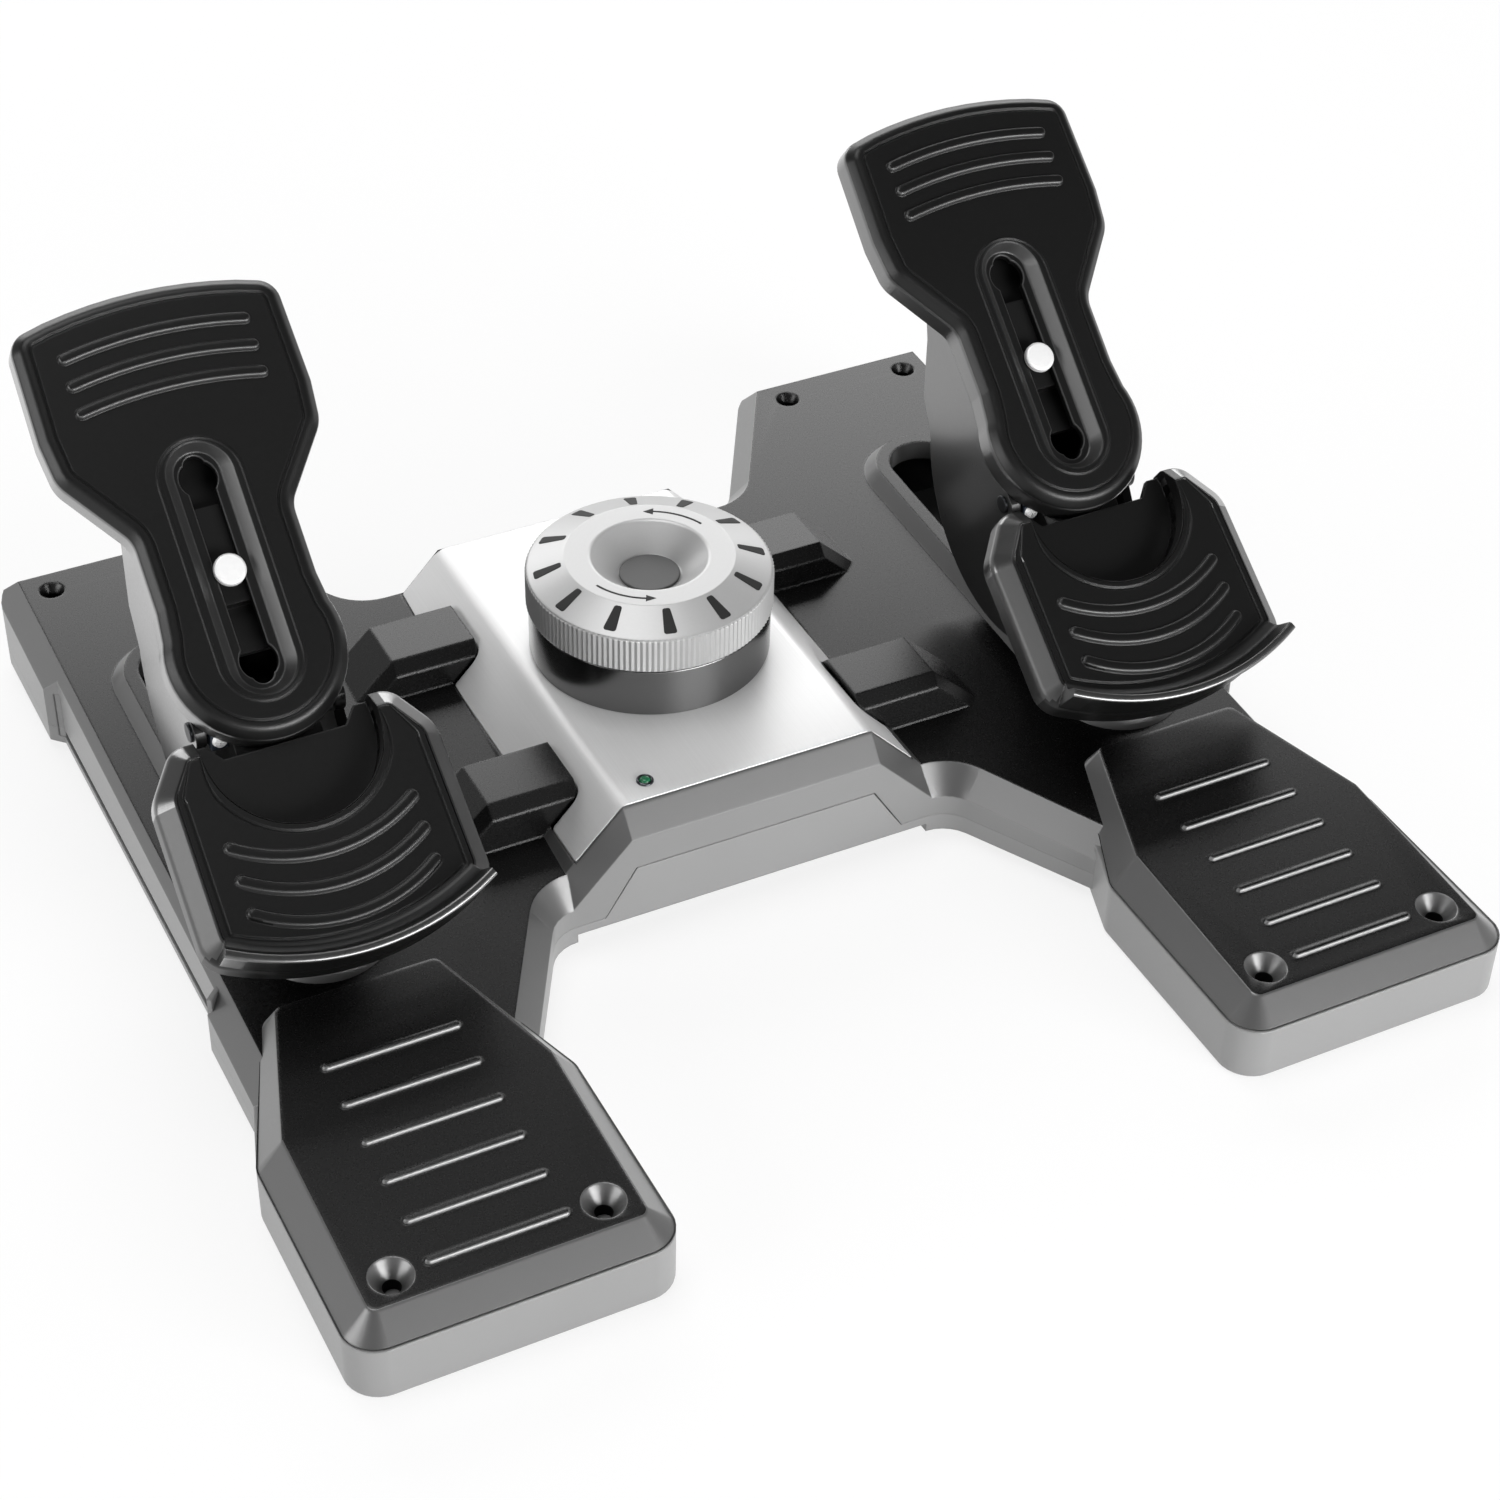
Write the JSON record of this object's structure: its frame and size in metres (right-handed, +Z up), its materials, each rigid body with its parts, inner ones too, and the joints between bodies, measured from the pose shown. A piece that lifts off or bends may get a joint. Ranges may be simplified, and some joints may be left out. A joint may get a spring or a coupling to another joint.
{
  "type": "flight simulator rudder pedals",
  "caption": "Rudder pedals for a flight simulator: H-shaped base, two sliding pedals with tipping toe plates on linked bars, centre tension knob, foot rests.",
  "frame": {"origin": "middle of the base's outline, on the floor", "axes": "+X to the user's right, +Y away from the user, +Z up"},
  "size_m": [0.4186, 0.398, 0.1979],
  "materials": {
    "case_black": "satin",
    "case_dark": "matte",
    "panel_silver": "satin",
    "collar_black": "satin",
    "cap_grey": "satin",
    "weight_iron": "matte",
    "link_steel": "brushed",
    "screw_bright": "polished",
    "bush_bronze": "satin",
    "liner_brown": "matte",
    "sensor_blue": "matte",
    "board_green": "matte",
    "lens_green": "gloss",
    "rubber_black": "matte",
    "glide_white": "satin",
    "pedal_black": "satin"
  },
  "bodies": {
    "base": {"lower_case": "case_dark", "upper_case": "case_black", "left_rest_base": "case_dark", "right_rest_base": "case_dark", "left_foot_rest": "case_black", "right_foot_rest": "case_black", "rest_weights": "weight_iron", "centre_panel": "panel_silver", "knob_collar": "collar_black", "friction_washers": "liner_brown", "bearing_plate": "link_steel", "front_pivot_pin": "link_steel", "rear_pivot_pin": "link_steel", "centring_spring": "link_steel", "rudder_sensor": "sensor_blue", "circuit_board": "board_green", "power_led": "lens_green", "led_bezel": "panel_silver", "cable_gland": "rubber_black", "rubber_feet": "rubber_black", "case_screws": "link_steel"},
    "front_link": {"front_bar": "link_steel", "front_bar_bushes": "bush_bronze"},
    "rear_link": {"rear_bar": "link_steel", "rear_bar_bush": "bush_bronze"},
    "knob": {"tension_knob": "panel_silver", "knob_cap": "cap_grey", "knob_ticks": "collar_black", "tension_spindle": "link_steel"},
    "nut": {"pressure_nut": "bush_bronze"},
    "left_pedal": {"left_carriage": "pedal_black", "left_carriage_pins": "link_steel", "left_glide_pads": "glide_white", "left_pedal_arm": "pedal_black", "left_heel_cup": "pedal_black", "left_hinge_pin": "link_steel", "left_brake_spring": "link_steel", "left_brake_sensor": "sensor_blue", "left_sensor_screw": "screw_bright"},
    "left_toe": {"left_toe_arm": "pedal_black", "left_clamp_screw": "screw_bright"},
    "left_plate": {"left_toe_plate": "pedal_black"},
    "right_pedal": {"right_carriage": "pedal_black", "right_carriage_pins": "link_steel", "right_glide_pads": "glide_white", "right_pedal_arm": "pedal_black", "right_heel_cup": "pedal_black", "right_hinge_pin": "link_steel", "right_brake_spring": "link_steel", "right_brake_sensor": "sensor_blue", "right_sensor_screw": "screw_bright"},
    "right_toe": {"right_toe_arm": "pedal_black", "right_clamp_screw": "screw_bright"},
    "right_plate": {"right_toe_plate": "pedal_black"}
  },
  "joints": [
    {"name": "rudder", "type": "hinge", "parent": "base", "child": "front_link", "pos_m": [0, -0.0015, 0.015], "axis": [0, 0, 1], "range_deg": [-11, 11], "stiffness_Nm_per_rad": 4},
    {"name": "rear_link_turn", "type": "hinge", "parent": "base", "child": "rear_link", "pos_m": [0, 0.0865, 0.015], "axis": [0, 0, 1], "range_deg": [-11, 11]},
    {"name": "tension", "type": "hinge", "parent": "base", "child": "knob", "pos_m": [0, 0.0425, 0.08], "axis": [0, 0, 1], "range_deg": [-150, 150]},
    {"name": "nut_lift", "type": "slide", "parent": "base", "child": "nut", "axis": [0, 0, -1], "range_m": [-0.0008, 0.0008]},
    {"name": "left_pedal_turn", "type": "hinge", "parent": "front_link", "child": "left_pedal", "pos_m": [-0.155, -0.0015, 0.015], "axis": [0, 0, 1], "range_deg": [-11, 11]},
    {"name": "left_toe_brake", "type": "hinge", "parent": "left_pedal", "child": "left_toe", "pos_m": [-0.1538, 0.0135, 0.0925], "axis": [-1, 0, 0], "range_deg": [0, 18], "stiffness_Nm_per_rad": 6, "springref_deg": -11.46},
    {"name": "left_plate_adjust", "type": "slide", "parent": "left_toe", "child": "left_plate", "axis": [0, 0.766, 0.6428], "range_m": [0, 0.031]},
    {"name": "right_pedal_turn", "type": "hinge", "parent": "front_link", "child": "right_pedal", "pos_m": [0.155, -0.0015, 0.015], "axis": [0, 0, 1], "range_deg": [-11, 11]},
    {"name": "right_toe_brake", "type": "hinge", "parent": "right_pedal", "child": "right_toe", "pos_m": [0.1538, 0.0135, 0.0925], "axis": [-1, 0, 0], "range_deg": [0, 18], "stiffness_Nm_per_rad": 6, "springref_deg": -11.46},
    {"name": "right_plate_adjust", "type": "slide", "parent": "right_toe", "child": "right_plate", "axis": [0, 0.766, 0.6428], "range_m": [0, 0.031]}
  ],
  "couplings": [
    {"joint": "rear_link_turn", "follows": "rudder", "ratio": 1},
    {"joint": "nut_lift", "follows": "tension", "m_per_rad": 0.00028},
    {"joint": "left_pedal_turn", "follows": "rudder", "ratio": -1},
    {"joint": "right_pedal_turn", "follows": "rudder", "ratio": -1}
  ]
}
